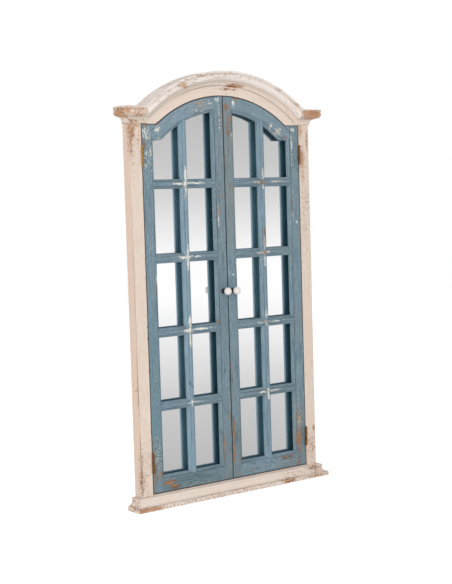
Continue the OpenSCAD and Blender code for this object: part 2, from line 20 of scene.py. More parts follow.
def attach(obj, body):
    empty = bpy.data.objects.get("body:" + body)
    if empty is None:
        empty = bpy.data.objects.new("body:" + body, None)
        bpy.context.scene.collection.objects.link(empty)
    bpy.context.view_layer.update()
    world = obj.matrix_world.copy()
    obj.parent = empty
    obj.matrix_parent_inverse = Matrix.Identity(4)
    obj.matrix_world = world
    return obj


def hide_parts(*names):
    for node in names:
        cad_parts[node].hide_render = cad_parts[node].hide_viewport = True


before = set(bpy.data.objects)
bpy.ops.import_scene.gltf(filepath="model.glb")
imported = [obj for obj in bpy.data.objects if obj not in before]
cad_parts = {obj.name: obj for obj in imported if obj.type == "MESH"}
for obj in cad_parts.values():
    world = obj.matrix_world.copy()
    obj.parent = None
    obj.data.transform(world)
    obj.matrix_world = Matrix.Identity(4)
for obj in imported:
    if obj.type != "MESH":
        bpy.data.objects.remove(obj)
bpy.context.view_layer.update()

scene = bpy.context.scene

# %% [markdown]
# ## The camera
#
# The view is from the front left, a little above the middle, through a long lens. A
# camera looks along its own -Z with +Y up, so its matrix is built from three axes.

# %% Camera
def place_camera():
    data = bpy.data.cameras.new("camera")
    data.sensor_fit = "VERTICAL"
    data.sensor_height = 36
    data.lens = 79.26
    data.clip_start = 0.05
    camera = bpy.data.objects.new("camera", data)
    scene.collection.objects.link(camera)
    right = Vector((0.7904778, -0.6117777, -0.0295450))
    down = Vector((-0.0689944, -0.0410098, -0.9967738))
    forward = Vector((0.6085923, 0.7899660, -0.0746266))
    matrix = Matrix((right, -down, -forward)).transposed().to_4x4()
    matrix.translation = Vector((-2.0581, -2.6921, -0.1396))
    camera.matrix_world = matrix
    scene.camera = camera


place_camera()
print("camera at", [round(c, 3) for c in scene.camera.location])

# %% [markdown]
# ## Helpers for node trees
#
# Every finish below is a tree of nodes. One helper adds a node with its settings and
# joins or sets its inputs, one does the same for sums, and one opens a node group with
# named sockets. Colours are noted as they look on a screen, from 0 to 255, and are
# turned into the linear values that shaders work with.

# %% Node helpers
def add(tree, kind, inputs=None, **settings):
    made = tree.nodes.new(kind)
    for key, value in settings.items():
        setattr(made, key, value)
    for key, value in (inputs or {}).items():
        if isinstance(value, bpy.types.NodeSocket):
            tree.links.new(value, made.inputs[key])
        else:
            made.inputs[key].default_value = value
    return made


def calc(tree, operation, *values, clamp=False):
    return add(tree, "ShaderNodeMath", dict(enumerate(values)), operation=operation,
               use_clamp=clamp).outputs[0]


def calc_vector(tree, operation, *values, output=0):
    return add(tree, "ShaderNodeVectorMath", dict(enumerate(values)),
               operation=operation).outputs[output]


def ease(tree, value, low, high):
    """0 at low and 1 at high, with a soft step between."""
    return add(tree, "ShaderNodeMapRange", {0: value, 1: low, 2: high},
               interpolation_type="SMOOTHSTEP").outputs[0]


def noise(tree, vector, scale, detail, rough, stretch=None):
    if stretch:
        vector = calc_vector(tree, "MULTIPLY", vector, stretch)
    return add(tree, "ShaderNodeTexNoise", {"Vector": vector, "Scale": scale,
               "Detail": detail, "Roughness": rough}, normalize=True).outputs[0]


def blend(tree, factor, first, second):
    return add(tree, "ShaderNodeMix", {0: factor, 6: first, 7: second},
               data_type="RGBA").outputs[2]


def use(tree, group, **inputs):
    return add(tree, "ShaderNodeGroup", inputs, node_tree=group).outputs


def split(tree, vector):
    return add(tree, "ShaderNodeSeparateXYZ", {0: vector}).outputs


def join(tree, *values):
    return add(tree, "ShaderNodeCombineXYZ", dict(enumerate(values))).outputs[0]


def tint(red, green, blue):
    parts = [c / 255 for c in (red, green, blue)]
    return tuple(c / 12.92 if c < 0.04045 else ((c + 0.055) / 1.055) ** 2.4
                 for c in parts) + (1.0,)


SOCKETS = {"VALUE": "NodeSocketFloat", "VECTOR": "NodeSocketVector",
           "RGBA": "NodeSocketColor", "GEOMETRY": "NodeSocketGeometry"}


def open_group(name, **takes):
    tree = bpy.data.node_groups.new(name, "ShaderNodeTree")
    for label, kind in takes.items():
        tree.interface.new_socket(label, in_out="INPUT", socket_type="NodeSocket" + kind)
    return tree, tree.nodes.new("NodeGroupInput").outputs


def close_group(tree, **results):
    for label, result in results.items():
        tree.interface.new_socket(label, in_out="OUTPUT", socket_type=SOCKETS[result.type])
    add(tree, "NodeGroupOutput", results)
    return tree


def open_finish(name):
    finish = bpy.data.materials.new(name)
    finish.use_nodes = True
    tree = finish.node_tree
    tree.nodes.clear()
    return finish, tree, add(tree, "ShaderNodeTexCoord").outputs["Object"]


def close_finish(finish, shader):
    add(finish.node_tree, "ShaderNodeOutputMaterial", {0: shader.outputs[0]})
    return finish


print("mid grey, linear:", [round(c, 3) for c in tint(128, 128, 128)])

# %% [markdown]
# ## Effects that several finishes share
#
# Grain and brush marks are noise that is stretched along the board. On the arched
# pieces the board is bent. The arcs of the doors, the header and the crown share one
# centre, so a first group unrolls them all: distance from the centre, depth, and length
# along the curve.

# %% Groups: along the arch, grain
ARCH_CENTRE_Z = -0.2143
MEAN_RADIUS = 0.36
GRAIN_WARP = 0.005


def make_along_arch():
    tree, start = open_group("along_arch", Vector="Vector")
    times = partial(calc, tree, "MULTIPLY")
    x, y, z = split(tree, start["Vector"])
    up = calc(tree, "SUBTRACT", z, ARCH_CENTRE_Z)
    radius = calc(tree, "SQRT", calc(tree, "ADD", times(x, x), times(up, up)))
    length = times(calc(tree, "ARCTAN2", x, up), MEAN_RADIUS)
    return close_group(tree, Vector=join(tree, radius, y, length))


def make_grain():
    tree, start = open_group("grain", Vector="Vector")
    warp = calc(tree, "MULTIPLY", noise(tree, start["Vector"], 9, 2, 0.5), GRAIN_WARP)
    bent = calc_vector(tree, "ADD", start["Vector"], join(tree, warp, warp))
    return close_group(
        tree, Streak=noise(tree, bent, 260, 4, 0.65, stretch=(1, 1, 0.07)),
        Fine=noise(tree, bent, 700, 3, 0.65, stretch=(1, 1, 0.16)),
        Cloud=noise(tree, start["Vector"], 26, 3, 0.55, stretch=(1, 1, 0.35)))


along_arch = make_along_arch()
grain = make_grain()

# %% [markdown]
# ## Wear
#
# Paint goes where hands, corners and moving leaves rub, and stays elsewhere, so each
# worn place is listed one by one: a centre, a reach along each axis and a strength. A
# chip's outline comes from noise: where noise plus wear passes a limit, the coat is gone.
# That gives solid loss in the middle of a place and loose flakes round it, as on real
# paint.

# %% Groups: worn places, chips, cracks and specks
CELL_SHARE, WORN_SHARE = 0.26, 0.6
RIM_START, FLAKE_LIMIT = 0.64, 0.7
SPECK_SPREAD, SMALLEST_SPECK = 0.16, 0.07


def make_worn_place():
    tree, start = open_group("worn_place", Vector="Vector", Centre="Vector",
                             Reach="Vector")
    away = calc_vector(tree, "SUBTRACT", start["Vector"], start["Centre"])
    share = calc_vector(tree, "DIVIDE", away, start["Reach"])
    far = calc_vector(tree, "LENGTH", share, output=1)
    return close_group(tree, Amount=calc(tree, "SUBTRACT", 1.0, far, clamp=True))


def make_near_line():
    tree, start = open_group("near_line", Place="Float", Line="Float", Reach="Float")
    away = calc(tree, "ABSOLUTE", calc(tree, "SUBTRACT", start["Place"], start["Line"]))
    share = calc(tree, "DIVIDE", away, start["Reach"])
    return close_group(tree, Amount=calc(tree, "SUBTRACT", 1.0, share, clamp=True))


def make_chips():
    tree, start = open_group("chips", Vector="Vector", Amount="Float", Size="Float",
                             Stretch="Vector")
    times, less = partial(calc, tree, "MULTIPLY"), partial(calc, tree, "SUBTRACT")
    place, size, stretch = start["Vector"], start["Size"], start["Stretch"]
    coarse = noise(tree, place, times(size, 0.4), 3, 0.6, stretch=stretch)
    jagged = noise(tree, place, times(size, 3), 2, 0.6)
    shift = calc(tree, "DIVIDE", less(jagged, 0.5), size)
    moved = calc_vector(tree, "ADD", place, join(tree, shift, shift, shift))
    cells = add(tree, "ShaderNodeTexVoronoi", {
        "Scale": size, "Vector": calc_vector(tree, "MULTIPLY", moved, stretch)})
    chance = add(tree, "ShaderNodeSeparateColor", {0: cells.outputs["Color"]}).outputs[0]
    flakes = calc(tree, "MULTIPLY_ADD", chance, CELL_SHARE, times(coarse, 1 - CELL_SHARE))
    level = calc(tree, "MULTIPLY_ADD", start["Amount"], WORN_SHARE, flakes)
    touched = ease(tree, start["Amount"], 0.0, 0.06)
    mask = times(ease(tree, level, FLAKE_LIMIT, FLAKE_LIMIT + 0.01), touched)
    near = times(ease(tree, level, RIM_START, FLAKE_LIMIT), touched)
    return close_group(tree, Mask=mask, Rim=less(near, mask))


def make_cracks():
    tree, start = open_group("cracks", Vector="Vector", Share="Float")
    less = partial(calc, tree, "SUBTRACT")
    wander = noise(tree, start["Vector"], 30, 4, 0.7, stretch=(1, 1, 0.1))
    line = calc(tree, "ABSOLUTE", less(wander, 0.5))
    thin = less(1.0, ease(tree, line, 0.002, 0.009))
    where = noise(tree, start["Vector"], 11, 2, 0.5, stretch=(1, 1, 0.5))
    there = calc(tree, "GREATER_THAN", where, less(1.0, start["Share"]))
    return close_group(tree, Mask=calc(tree, "MULTIPLY", thin, there))


def make_specks():
    tree, start = open_group("specks", Vector="Vector", Scale="Float", Share="Float")
    cells = add(tree, "ShaderNodeTexVoronoi",
                {"Vector": start["Vector"], "Scale": start["Scale"]})
    chance = add(tree, "ShaderNodeSeparateColor", {0: cells.outputs["Color"]}).outputs
    chosen = calc(tree, "LESS_THAN", chance[0], start["Share"])
    size = calc(tree, "MULTIPLY_ADD", chance[1], SPECK_SPREAD, SMALLEST_SPECK)
    spot = calc(tree, "LESS_THAN", cells.outputs["Distance"], size)
    return close_group(tree, Mask=calc(tree, "MULTIPLY", spot, chosen))


worn_place, near_line = make_worn_place(), make_near_line()
chips, cracks, specks = make_chips(), make_cracks(), make_specks()

# %% [markdown]
# The wood under the paint is a warm, open-grained softwood. Its colour runs from light
# to dark along the streaks.

# %% Group: bare wood
def make_bare_wood():
    tree, start = open_group("bare_wood", Vector="Vector")
    marks = use(tree, grain, Vector=start["Vector"])
    tone = calc(tree, "ADD", marks["Streak"], calc(tree, "MULTIPLY", marks["Cloud"], 0.5))
    ramp = add(tree, "ShaderNodeValToRGB", {0: ease(tree, tone, 0.5, 1.0)})
    stops = ramp.color_ramp.elements
    stops[0].color = tint(132, 90, 64)
    stops[1].color = tint(220, 176, 138)
    stops.new(0.5).color = tint(190, 136, 98)
    return close_group(tree, Color=ramp.outputs[0])


bare_wood = make_bare_wood()
print("shader groups:", [group.name for group in bpy.data.node_groups])

# %% [markdown]
# ## Painted wood
#
# One function builds every painted finish, because they differ only in their colours,
# in the way the grain runs, in where they are worn and in the light and shade painted
# into their coats. From the wood outwards there is bare wood, a pale undercoat and the
# top coat with its brush marks. A bump node turns the same masks into height, so that a
# chip has an edge.

# %% Painted wood
RUNS = {"upright": (0, 0, 0), "level": (0, pi / 2, 0), "inward": (pi / 2, 0, 0)}
CHIPS_PER_METRE = 400
SPECKS_PER_METRE = 210
STIPPLE_PER_METRE = 430
# Painted shadow in the gaps lies on the front faces only, between these depths.
GAP_DEPTHS = -0.0235, -0.0265  # gaps are dark at the front faces only
WORN_WOOD_RIM = tint(132, 96, 74)
STIPPLE_DIRT = tint(96, 92, 74)
GAP_SHADOW = tint(44, 38, 36)


def painted_wood(name, run, coat, coat_dark, coat_light, tinge, undercoat, spots=(),
                 lines=(), rubbed_to=None, stains=(), shades=(), stipple=(),
                 wood_shades=(), dotted=(), scars=(), grooves=(), gaps=(),
                 speck_share=0.02, crack_share=0.4, flake=(1, 1, 0.7),
                 grime_and_groove_shade=tint(96, 68, 54)):
    finish, tree, place = open_finish(name)
    times, less, most, fused = (partial(calc, tree, operation) for operation in (
        "MULTIPLY", "SUBTRACT", "MAXIMUM", "MULTIPLY_ADD"))
    rise = partial(ease, tree)
    unrolled = use(tree, along_arch, Vector=place)["Vector"]
    along = unrolled if run == "arched" else add(
        tree, "ShaderNodeMapping", {"Vector": place, "Rotation": RUNS[run]}).outputs[0]
    marks = use(tree, grain, Vector=along)
    parts = split(tree, place)
    measures = {"side": calc(tree, "ABSOLUTE", parts["X"]), "depth": parts["Y"],
                "height": parts["Z"], "radius": split(tree, unrolled)["X"]}
    uneven = rise(noise(tree, along, 14, 3, 0.6, stretch=(1, 1, 0.5)), 0.4, 0.66)

    def worn(centre, reach):
        return use(tree, worn_place, Vector=place, Centre=centre, Reach=reach)["Amount"]

    def on_lines(entries):
        total = 0.0
        for measure, line, reach, strength in entries:
            near = use(tree, near_line, Place=measures[measure], Line=line, Reach=reach)
            total = most(total, times(near["Amount"], strength))
        return total

    def paint(under, where, share, over):
        return blend(tree, times(where, share), under, over)

    def chipped(amount):
        return use(tree, chips, Vector=along, Amount=amount, Size=CHIPS_PER_METRE,
                   Stretch=flake)

    # wear: listed places, then lines along the arrises
    coat_wear, wood_wear = 0.0, 0.0
    for centre, reach, to_undercoat, to_wood in spots:
        amount = worn(centre, reach)
        if to_undercoat:
            coat_wear = most(coat_wear, times(amount, to_undercoat))
        if to_wood:
            wood_wear = most(wood_wear, times(amount, to_wood))
    rubbed = times(on_lines(lines), uneven)
    if rubbed_to:
        rubbed = times(rubbed, rise(measures["depth"], *rubbed_to))
    shown = chipped(most(coat_wear, rubbed))
    wood_wear = most(wood_wear, times(rubbed, 0.8))
    gone = chipped(wood_wear)

    # the top coat: brush marks, a tinge in soft patches, stains, then tones and painted
    # light and shade
    brushed = calc(tree, "ADD", times(marks["Streak"], 0.5), times(marks["Fine"], 0.5))
    colour = blend(tree, rise(brushed, 0.38, 0.5), coat_dark, coat)
    colour = blend(tree, rise(brushed, 0.5, 0.63), colour, coat_light)
    colour = paint(colour, rise(marks["Cloud"], 0.38, 0.66), 0.4, tinge)
    for centre, reach, share, stain in stains:
        patchy = rise(calc(tree, "ADD", worn(centre, reach), marks["Streak"]), 0.5, 1.1)
        colour = paint(colour, patchy, share, stain)
    # tones, painted light and painted shade, each a fade of the coat along side, depth,
    # height or radius
    for measure, low, high, share, shade in shades:
        colour = paint(colour, rise(measures[measure], low, high), share, shade)

    # what shows through it: undercoat, fine stipple and bare wood
    colour = blend(tree, shown["Mask"], colour, undercoat)
    if stipple:
        share = 0.0
        for centre, reach, strength in stipple:
            share = fused(worn(centre, reach), strength, share)
        fine = noise(tree, place, STIPPLE_PER_METRE, 2, 0.7)
        for low, high, tone in ((0.53, 0.66, undercoat), (0.46, 0.36, STIPPLE_DIRT)):
            there = calc(tree, "MINIMUM", times(rise(fine, low, high), share), 0.8)
            colour = blend(tree, there, colour, tone)
    wood = use(tree, bare_wood, Vector=along)["Color"]
    for measure, low, high, share, shade in wood_shades:
        wood = paint(wood, rise(measures[measure], low, high), share, shade)
    colour = paint(colour, rise(wood_wear, 0.02, 0.6), 0.12, wood)
    colour = paint(colour, gone["Rim"], 0.3, WORN_WOOD_RIM)
    colour = blend(tree, gone["Mask"], colour, wood)

    # dark marks: hairline cracks, wormholes, scars, dirt and painted shade in grooves; then
    # painted shadow in the gaps
    for centre, reach, share in dotted:
        speck_share = fused(worn(centre, reach), share, speck_share)
    dots = use(tree, specks, Vector=place, Scale=SPECKS_PER_METRE, Share=speck_share)
    hairlines = use(tree, cracks, Vector=along, Share=crack_share)["Mask"]
    dark = most(times(hairlines, 0.5), dots["Mask"])
    dark = most(dark, times(on_lines(grooves), fused(uneven, 0.6, 0.4)))
    for centre, reach, share in scars:
        amount = worn(centre, reach)
        broken = rise(fused(marks["Streak"], 1.2, amount), 0.85, 1.15)
        dark = most(dark, times(times(broken, share), rise(amount, 0.0, 0.1)))
    colour = paint(colour, dark, 0.85, grime_and_groove_shade)
    if gaps:
        colour = paint(colour, on_lines(gaps), rise(measures["depth"], *GAP_DEPTHS),
                       GAP_SHADOW)

    height = less(times(brushed, 0.35), times(shown["Mask"], 0.25))
    height = less(less(height, gone["Mask"]), dark)
    bump = add(tree, "ShaderNodeBump", {"Strength": 0.8, "Distance": 0.0005,
                                        "Height": height}).outputs[0]
    return close_finish(finish, add(tree, "ShaderNodeBsdfPrincipled", {
        "Base Color": colour, "Normal": bump, "Specular IOR Level": 0.3,
        "Roughness": fused(gone["Mask"], 0.22, 0.6)}))


# %% [markdown]
# ## How worn places are written down
#
# The finishes below read tables in millimetres and per cent. A place has x, z, width and
# height, then its strengths, and lies on the doors' front faces if nothing else is said.
# A line follows an edge: a measure (side, depth, height or radius), where along it, how
# far the effect reaches, and how strong it is. A fade lays a colour over one end of a
# measure.

# %% Helpers and places for the tables
def at(x, z, wide, high, *strengths, y=-29, deep=20):
    """A place with its reach, where y and deep are those from front to back."""
    centre, reach = (x, y, z), (wide, deep, high)
    return (tuple(v / 1000 for v in centre), tuple(v / 1000 for v in reach),
            *(share / 100 for share in strengths))


def near(measure, *rows):
    return [(measure, line / 1000, reach / 1000, share / 100)
            for line, reach, share in rows]


def fade(measure, low, high, share, shade):
    return measure, low / 1000, high / 1000, share / 100, shade


MUNTIN = 127.65
STILE_EDGES, MUNTIN_EDGES, BAR_HALF = (28.8, 226.5), (122.9, 132.4), 5.5
MEETING_EDGE, DOOR_EDGE, POST_EDGE = 1, 256, 257.5
DOOR_FOOT, PLINTH_TOP, PLINTH_STEP = -887, -889, -892.5
BARS = [DOOR_FOOT + up for up in (217.8, 405.6, 593.4, 781.2)]
RAIL_ARC, DOOR_ARC, OPENING_ARC = 298.6, 331.8, 333.8
CROWN_FOOT_ARC, CROWN_STEP_ARC, CROWN_ARC = 360, 389.3, 395.5
CORNICE_STEP = 80.8
print("bars at", [round(z, 1) for z in BARS])

# %% [markdown]
# ### The cream frame
#
# The heaviest loss is along the top of the left post, on both cornices and along the
# foot of the plinth. The two strengths of a worn place are how far it goes down to the
# undercoat and down to the wood.

# %% Cream finishes
CREAM = dict(coat=tint(234, 218, 204), coat_dark=tint(222, 203, 187),
             coat_light=tint(243, 232, 222), tinge=tint(233, 211, 195),
             undercoat=tint(247, 238, 230), crack_share=0.3)
LOW_WOOD = fade("height", -500, -800, 12, tint(118, 90, 58))
HIGH_WOOD = fade("height", -300, -100, 30, tint(228, 180, 140))

post_spots = [
    at(-287.5, 26, 16, 45, 20, 64), at(-288.5, -2, 9, 56, 20, 54),
    at(-284, -50, 8, 80, 0, 19, deep=6), at(-276, 42, 34, 16, 20, 42),
    at(-268, 10, 10, 40, 0, 26), at(274, -180, 30, 120, 0, 16),
    at(-288, -795, 8, 30, 0, 40), at(-291, -850, 20, 60, 0, 34),
    at(-292, -620, 3, 8, 0, 34), at(-275, -820, 30, 140, 0, 12),
    at(264, 30, 12, 30, 0, 50), at(288, 5, 8, 45, 0, 54), at(268, -45, 16, 50, 0, 58),
    at(270, -90, 10, 40, 0, 44), at(287, -790, 10, 14, 0, 62),
    at(282, -840, 24, 65, 0, 30), at(262, -860, 12, 40, 0, 28),
]
post_scars = [
    at(-292.2, -350, 1.1, 300, 60, deep=8), at(-292.2, -620, 1.3, 160, 80, deep=8),
    at(-291.5, -800, 1.7, 140, 90, deep=8), at(-288.5, -850, 1.7, 60, 80, deep=8),
]
post_dots = [
    at(-292, -800, 20, 140, 40, deep=40), at(-288, -20, 18, 80, 20, deep=10),
    at(276, -835, 20, 60, 130, deep=30), at(274, -60, 22, 120, 30, deep=30),
    at(284, -300, 12, 200, 14, deep=30), at(276, -200, 18, 130, 55, deep=30),
]
CREAM_POSTS = {**CREAM, "flake": (1.5, 1.5, 0.9), "grime_and_groove_shade": tint(122, 80, 62),
               "coat": tint(232, 215, 200), "coat_dark": tint(221, 201, 183),
               "coat_light": tint(240, 226, 213)}
# Painted shade: past |x| 291.6 mm the posts' outer sides get a darker, warmer coat, as if
# turned from the light.
painted_wood("cream_upright", "upright", spots=post_spots, scars=post_scars,
             dotted=post_dots, lines=near("side", (POST_EDGE, 4, 30)),
             gaps=near("side", (POST_EDGE, 1, 80)),
             shades=[fade("side", 291.6, 293, 70, tint(226, 198, 178))],
             wood_shades=[HIGH_WOOD], **CREAM_POSTS)

foot_spots = [
    at(-285, -919, 66, 9, 0, 95, y=-54, deep=30),
    at(-40, -919, 400, 9, 25, 25, y=-56, deep=12),
    at(220, -905, 120, 20, 0, 20, y=-50, deep=30),
    at(172, -917, 40, 9, 0, 75, y=-54, deep=30),
    at(270, -918, 80, 8, 0, 50, y=-54, deep=30),
    at(280, -900, 50, 20, 0, 42, y=-45, deep=30),
    at(292, 74, 60, 22, 0, 85, y=-55, deep=40),
    at(-312, 76, 18, 18, 0, 60, y=-55, deep=30),
    at(-280, 74, 60, 20, 0, 36, y=-55, deep=40),
    at(-276, 65, 30, 5, 0, 60, y=-50, deep=40),
    at(-285, 50, 50, 12, 0, 40, y=-35, deep=40),
]
level_lines = near("height", (-923.5, 4, 40), (87, 4, 42), (CORNICE_STEP, 4, 40))
level_lines += near("depth", (-55.5, 4, 30))
# Dark lines along the grooves stand for dirt and for painted shade in the recesses.
cornice_grooves = near("height", (CORNICE_STEP, 0.8, 50), (62, 1, 60), (47, 1.2, 70))
plinth_grooves = near("height", (-913, 1.4, 100), (PLINTH_STEP, 1.2, 25))
painted_wood("cream_level", "level", spots=foot_spots, lines=level_lines,
             grooves=cornice_grooves + plinth_grooves,
             gaps=near("height", (PLINTH_TOP, 1, 80)), flake=(1.4, 1.4, 0.9),
             shades=[fade("height", PLINTH_TOP, -891, 30, tint(244, 230, 222))],
             wood_shades=[LOW_WOOD, HIGH_WOOD], **CREAM)

return_spots = [
    at(-314, 70, 30, 26, 0, 72, y=-30, deep=50),
    at(-315, -912, 30, 22, 0, 36, y=-30, deep=50),
    at(312, 72, 30, 20, 0, 60, y=-35, deep=30),
    at(312, -915, 30, 16, 0, 50, y=-40, deep=30),
]
# The returns' grooves: dirt and painted shade likewise.
return_grooves = near("height", (-912, 2.2, 100), (-901, 1.6, 100), (PLINTH_STEP, 1.2, 70))
painted_wood("cream_inward", "inward", spots=return_spots, lines=level_lines,
             grooves=cornice_grooves + return_grooves, wood_shades=[HIGH_WOOD], **CREAM)

arch_spots = [
    at(32, 146, 30, 8, 0, 88), at(12, 137, 26, 6, 0, 62), at(55, 145, 22, 5, 0, 85),
    at(40, 136, 14, 5, 0, 65), at(-142, 140, 34, 14, 0, 58, y=-50, deep=30),
    at(-85, 166, 50, 10, 0, 34, y=-50, deep=30),
    at(-10, 172, 60, 10, 0, 27, y=-50, deep=30),
    at(182, 142, 30, 16, 0, 58, y=-50, deep=30),
    at(234, 104, 20, 20, 0, 42, y=-50, deep=30),
    at(-130, 140, 190, 70, 62, 0, y=-54, deep=14),
    at(20, 176, 220, 40, 60, 0, y=-54, deep=14),
    at(170, 150, 130, 70, 56, 0, y=-54, deep=14),
    at(-60, 168, 150, 30, 0, 20, y=-52, deep=14),
    at(80, 174, 150, 30, 0, 13, y=-52, deep=14),
    at(-190, 110, 70, 50, 0, 17, y=-52, deep=14),
    at(-120, 150, 110, 40, 0, 18, y=-54, deep=10),
    at(230, 100, 60, 50, 0, 15, y=-50, deep=12),
]
arch_dots = [at(-150, 130, 120, 60, 10, y=-52), at(210, 110, 70, 70, 15, y=-52)]
arch_lines = near("radius", (CROWN_ARC, 3, 30), (CROWN_STEP_ARC, 3, 40),
                  (CROWN_FOOT_ARC, 2, 34), (OPENING_ARC, 3, 28))
# Dark lines in the crown's grooves and at its joint: dirt, the joint itself, and painted
# shade in the recesses.
arch_grooves = near("radius", (CROWN_STEP_ARC, 1, 80), (384, 0.8, 50), (370.7, 1, 70),
                    (CROWN_FOOT_ARC, 1.2, 100))
# Radius fades: the header's coat is made lighter; painted light lifts the shaded cove and
# every face outside it; the nose, further out, is brought back near the coat; painted shade
# greys the outer top face, which is turned from the light.
painted_wood("cream_arched", "arched", spots=arch_spots, lines=arch_lines,
             dotted=arch_dots, grooves=arch_grooves,
             gaps=near("radius", (OPENING_ARC, 1.2, 85)), flake=(2.0, 2.0, 0.5),
             shades=[fade("radius", 361, 359, 30, tint(246, 228, 214)),
                     fade("radius", 369.5, 371.5, 80, tint(255, 244, 236)),
                     fade("radius", 384, 387, 60, tint(236, 224, 215)),
                     fade("radius", 390, 394.5, 30, tint(216, 207, 206))],
             wood_shades=[fade("radius", 370, 376, 50, tint(228, 192, 156))], **CREAM)

# %% [markdown]
# ### The blue doors
#
# Where a bar crosses the muntin the blue has been rubbed through to the undercoat in
# the shape of a cross. The lower corners and the edges between the two doors are down
# to the wood. The backs lie in shade, and that shade is painted into their coat as a
# darker, greener blue, deeper on some pieces than on others. Painted light lifts the
# reveals just in front of it.

# %% Blue finishes
# Painted light: behind the front mouldings, the doors' reveals get a lighter, bluer coat,
# as if lit from the side.
REVEAL_PAINTED_LIGHT = fade("depth", -25, -21.5, 25, tint(156, 180, 192))
RUBBED_DEPTHS = -0.0190, -0.0230  # only edges at the front are rubbed
BLUE = dict(coat=tint(119, 143, 156), coat_dark=tint(88, 113, 128),
            coat_light=tint(155, 177, 190), tinge=tint(122, 142, 148),
            undercoat=tint(232, 230, 221), grime_and_groove_shade=tint(46, 62, 72),
            wood_shades=[fade("depth", 0, -10, 42, tint(118, 90, 58))],
            rubbed_to=RUBBED_DEPTHS, flake=(1.6, 1.6, 0.5), speck_share=0.006,
            crack_share=0.55)


# Painted light over the reveals, then painted shade over the backs and the rear of the
# reveals: a darker, greener blue with the given share.
def painted_reveal_shading(share, shade):
    return [REVEAL_PAINTED_LIGHT, fade("depth", -19.5, -16, share, shade)]


# For each door and row from the top: how far the wear reaches up, down, to the left and
# to the right, and how strong it is down to the undercoat and down to the wood
CROSSINGS = {(-1, 1): (45, 32, 44, 44, 90, 0), (1, 1): (42, 22, 42, 60, 80, 60),
             (-1, 2): (32, 36, 36, 44, 80, 0), (1, 2): (56, 46, 34, 20, 75, 40),
             (-1, 3): (38, 52, 24, 54, 100, 0), (1, 3): (42, 12, 42, 50, 60, 30),
             (-1, 4): (8, 14, 16, 30, 60, 0), (1, 4): (10, 26, 42, 36, 75, 20)}
muntin_spots = [at(-128, -130, 10, 26, 40, 20), at(131, -250, 6, 40, 50, 48)]
rail_spots = [
    at(-206, -865, 28, 9, 0, 84), at(-190, -878, 22, 8, 0, 80),
    at(180, -857, 14, 8, 0, 62), at(205, -857, 18, 5, 0, 54), at(60, -873, 30, 6, 34, 30),
]
for (side, row), (up, down, left, right, under, wood) in CROSSINGS.items():
    x, z, thin_wood = side * MUNTIN, BARS[4 - row], wood * 0.4
    middle = at(x, z, 13, 12, under * 0.75, wood)
    muntin_spots += [
        middle, at(x + 2.5, z + up * 0.5, 7.5, up * 0.58, under, thin_wood),
        at(x + 2, z - down * 0.5, 5.2, down * 0.6, under, thin_wood)]
    rail_spots += [
        middle, at(x - left * 0.4, z, left * 0.6, 5.5, under * 0.8, thin_wood),
        at(x + right * 0.7, z + 1, right * 0.9, 4.2, under * 0.72, thin_wood)]

stile_lines = near("side", (MEETING_EDGE, 1.6, 42), (DOOR_EDGE, 2, 36),
                   *((edge, 1.6, 26) for edge in STILE_EDGES))
# Dark lines in the quirks beside stiles and muntins: dirt and painted shade.
quirks = near("side", *((edge, 1.9, 90) for edge in STILE_EDGES),
              *((edge, 1.5, 75) for edge in MUNTIN_EDGES))
door_gaps = near("side", (MEETING_EDGE, 1.2, 90), (DOOR_EDGE, 1.4, 85))
door_gaps += near("height", (DOOR_FOOT, 1.4, 85))
muntin_stains = [(*at(side * MUNTIN, -420, 22, 2000, share, deep=60), tint(146, 175, 191))
                 for side, share in ((-1, 50), (1, 25))]
muntin_scars = [at(-131, -620, 4, 6, 90), at(-125, -626, 3, 4, 90)]
painted_wood("blue_muntin", "upright", spots=muntin_spots, lines=stile_lines,
             grooves=quirks, stains=muntin_stains, scars=muntin_scars,
             shades=painted_reveal_shading(77, tint(50, 108, 125)), **BLUE)

stile_spots = [
    at(-245, 18, 18, 30, 36, 0), at(-231, -20, 6, 70, 34, 0), at(-248, -5, 10, 24, 0, 34),
    at(-245, 41, 12, 6, 0, 60), at(-244, -30, 16, 50, 18, 0), at(-19, 108, 12, 10, 50, 0),
    at(-12, 85, 3.5, 60, 52, 0), at(-5, 70, 5, 60, 50, 46), at(12, 91, 10, 14, 40, 60),
    at(34, 98, 6, 22, 66, 0), at(18, 40, 14, 50, 40, 42), at(28, 18, 5, 16, 60, 0),
    at(235, 33, 10, 12, 62, 0), at(232, -10, 5, 70, 48, 0),
    at(-24.5, -176, 2.6, 36, 60, 44), at(-24, -204, 2.8, 24, 80, 20),
    at(-11, -137, 10, 16, 30, 26), at(-224, -345, 6, 26, 55, 0),
    at(-225, -372, 5, 18, 0, 52), at(229, -150, 5, 40, 50, 44),
    at(230, -196, 6, 22, 60, 42), at(244, -216, 6, 6, 55, 0), at(31, -322, 5, 14, 50, 0),
    at(20, -348, 5, 8, 45, 0), at(-32, -467, 5, 14, 0, 50), at(235, -760, 14, 40, 46, 36),
    at(233, -815, 14, 56, 46, 66), at(231, -878, 14, 8, 0, 60),
    at(-252, -820, 8, 80, 40, 66), at(-228, -842, 12, 16, 0, 70),
    at(-241, -845, 6, 16, 0, 46), at(-25, -800, 4, 50, 0, 60), at(-28, -879, 8, 8, 0, 50),
    at(8, -765, 7, 50, 60, 60), at(6, -815, 7, 45, 0, 66), at(28, -838, 7, 10, 0, 56),
    at(28, -879, 12, 7, 46, 40), at(4, -600, 4, 90, 0, 40), at(-4, -700, 3, 90, 0, 40),
    at(18, -100, 20, 200, 0, 6),
]
